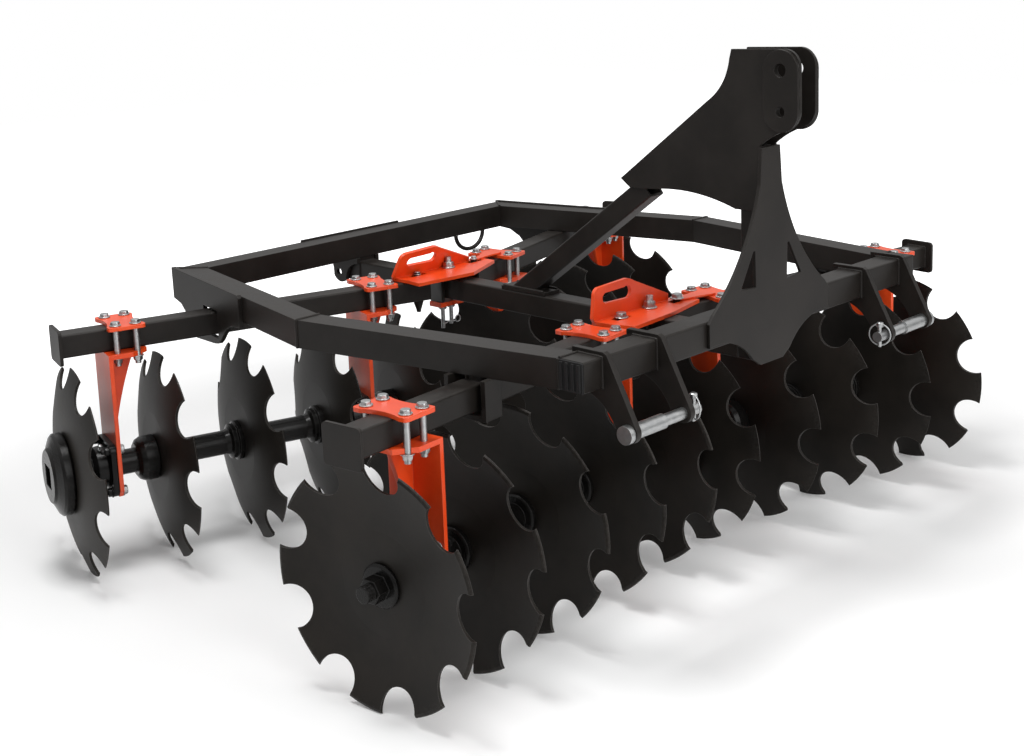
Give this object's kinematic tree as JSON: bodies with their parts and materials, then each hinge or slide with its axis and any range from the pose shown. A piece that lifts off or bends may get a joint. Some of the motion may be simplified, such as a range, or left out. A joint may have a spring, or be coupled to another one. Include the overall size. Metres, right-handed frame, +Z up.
{
  "type": "disc harrow",
  "caption": "Three-point tandem disc harrow: angled gangs of notched dished discs under a six-sided tube frame with an A-frame mast and sliding angle adjusters.",
  "frame": {"origin": "bottom centre of the whole harrow, on the ground under the discs", "axes": "+Z up, +Y forward to the tractor hitch, +X to the machine's right"},
  "size_m": [1.9288, 1.4748, 1.095],
  "materials": {
    "disc_steel": "satin black enamel",
    "hub_paint": "satin black cast iron",
    "housing_paint": "satin black cast iron",
    "accent_paint": "gloss orange enamel",
    "zinc_pin": "bright zinc plate",
    "plug_plastic": "ribbed black plastic",
    "frame_paint": "satin black powder coat"
  },
  "bodies": {
    "frame": {"front_bar": "frame_paint", "rear_bar": "frame_paint", "side_rail_right": "frame_paint", "side_rail_left": "frame_paint", "centre_beam": "frame_paint", "end_plug_right": "plug_plastic", "end_plug_left": "plug_plastic", "mast_cheek_right": "frame_paint", "mast_cheek_left": "frame_paint", "mast_front_plate": "frame_paint", "mast_post": "frame_paint", "mast_brace": "frame_paint", "hitch_ears_right": "frame_paint", "hitch_ears_left": "frame_paint", "hitch_pin_right": "zinc_pin", "hitch_pin_left": "zinc_pin", "rear_hanger_right": "frame_paint", "rear_hanger_left": "frame_paint", "front_hanger_right": "frame_paint", "front_hanger_left": "frame_paint", "rear_lug": "frame_paint"},
    "bar_front_right": {"bar_front_right": "frame_paint", "clamps_front_right": "accent_paint", "standards_front_right": "accent_paint", "bearings_front_right": "housing_paint"},
    "gang_front_right": {"discs_front_right": "disc_steel", "spools_front_right": "hub_paint"},
    "bar_front_left": {"bar_front_left": "frame_paint", "clamps_front_left": "accent_paint", "standards_front_left": "accent_paint", "bearings_front_left": "housing_paint"},
    "gang_front_left": {"discs_front_left": "disc_steel", "spools_front_left": "hub_paint"},
    "adjuster_front": {"adjuster_front": "accent_paint"},
    "bar_rear_right": {"bar_rear_right": "frame_paint", "clamps_rear_right": "accent_paint", "standards_rear_right": "accent_paint", "bearings_rear_right": "housing_paint"},
    "gang_rear_right": {"discs_rear_right": "disc_steel", "spools_rear_right": "hub_paint"},
    "bar_rear_left": {"bar_rear_left": "frame_paint", "clamps_rear_left": "accent_paint", "standards_rear_left": "accent_paint", "bearings_rear_left": "housing_paint"},
    "gang_rear_left": {"discs_rear_left": "disc_steel", "spools_rear_left": "hub_paint"},
    "adjuster_rear": {"adjuster_rear": "accent_paint"}
  },
  "joints": [
    {"name": "angle_front_right", "type": "hinge", "parent": "frame", "child": "bar_front_right", "pos_m": [0.55607, 0.39874, 0.5345], "axis": [0, 0, 1], "range_deg": [-7, 8]},
    {"name": "spin_front_right", "type": "hinge", "parent": "bar_front_right", "child": "gang_front_right", "pos_m": [0.45878, 0.38697, 0.2286], "axis": [0.9928, 0.1201, 0], "continuous": true},
    {"name": "angle_front_left", "type": "hinge", "parent": "frame", "child": "bar_front_left", "pos_m": [-0.55607, 0.39874, 0.5345], "axis": [0, 0, 1], "range_deg": [-8, 7]},
    {"name": "spin_front_left", "type": "hinge", "parent": "bar_front_left", "child": "gang_front_left", "pos_m": [-0.45878, 0.38697, 0.2286], "axis": [-0.9928, 0.1201, 0], "continuous": true},
    {"name": "slide_front", "type": "slide", "parent": "frame", "child": "adjuster_front", "axis": [0, 1, 0], "range_m": [-0.0652, 0.0571]},
    {"name": "angle_rear_right", "type": "hinge", "parent": "frame", "child": "bar_rear_right", "pos_m": [0.54623, -0.42023, 0.5345], "axis": [0, 0, 1], "range_deg": [-3.5, 8.5]},
    {"name": "spin_rear_right", "type": "hinge", "parent": "bar_rear_right", "child": "gang_rear_right", "pos_m": [0.54143, -0.41882, 0.2286], "axis": [0.9598, -0.2807, 0], "continuous": true},
    {"name": "angle_rear_left", "type": "hinge", "parent": "frame", "child": "bar_rear_left", "pos_m": [-0.54623, -0.42023, 0.5345], "axis": [0, 0, 1], "range_deg": [-8.5, 3.5]},
    {"name": "spin_rear_left", "type": "hinge", "parent": "bar_rear_left", "child": "gang_rear_left", "pos_m": [-0.54143, -0.41882, 0.2286], "axis": [-0.9598, -0.2807, 0], "continuous": true},
    {"name": "slide_rear", "type": "slide", "parent": "frame", "child": "adjuster_rear", "axis": [0, 1, 0], "range_m": [-0.0677, 0.0282]}
  ],
  "couplings": [
    {"joint": "angle_front_left", "follows": "angle_front_right", "ratio": -1},
    {"joint": "slide_front", "follows": "angle_front_right", "m_per_rad": -0.46362},
    {"joint": "angle_rear_left", "follows": "angle_rear_right", "ratio": -1},
    {"joint": "slide_rear", "follows": "angle_rear_right", "m_per_rad": -0.45303}
  ]
}
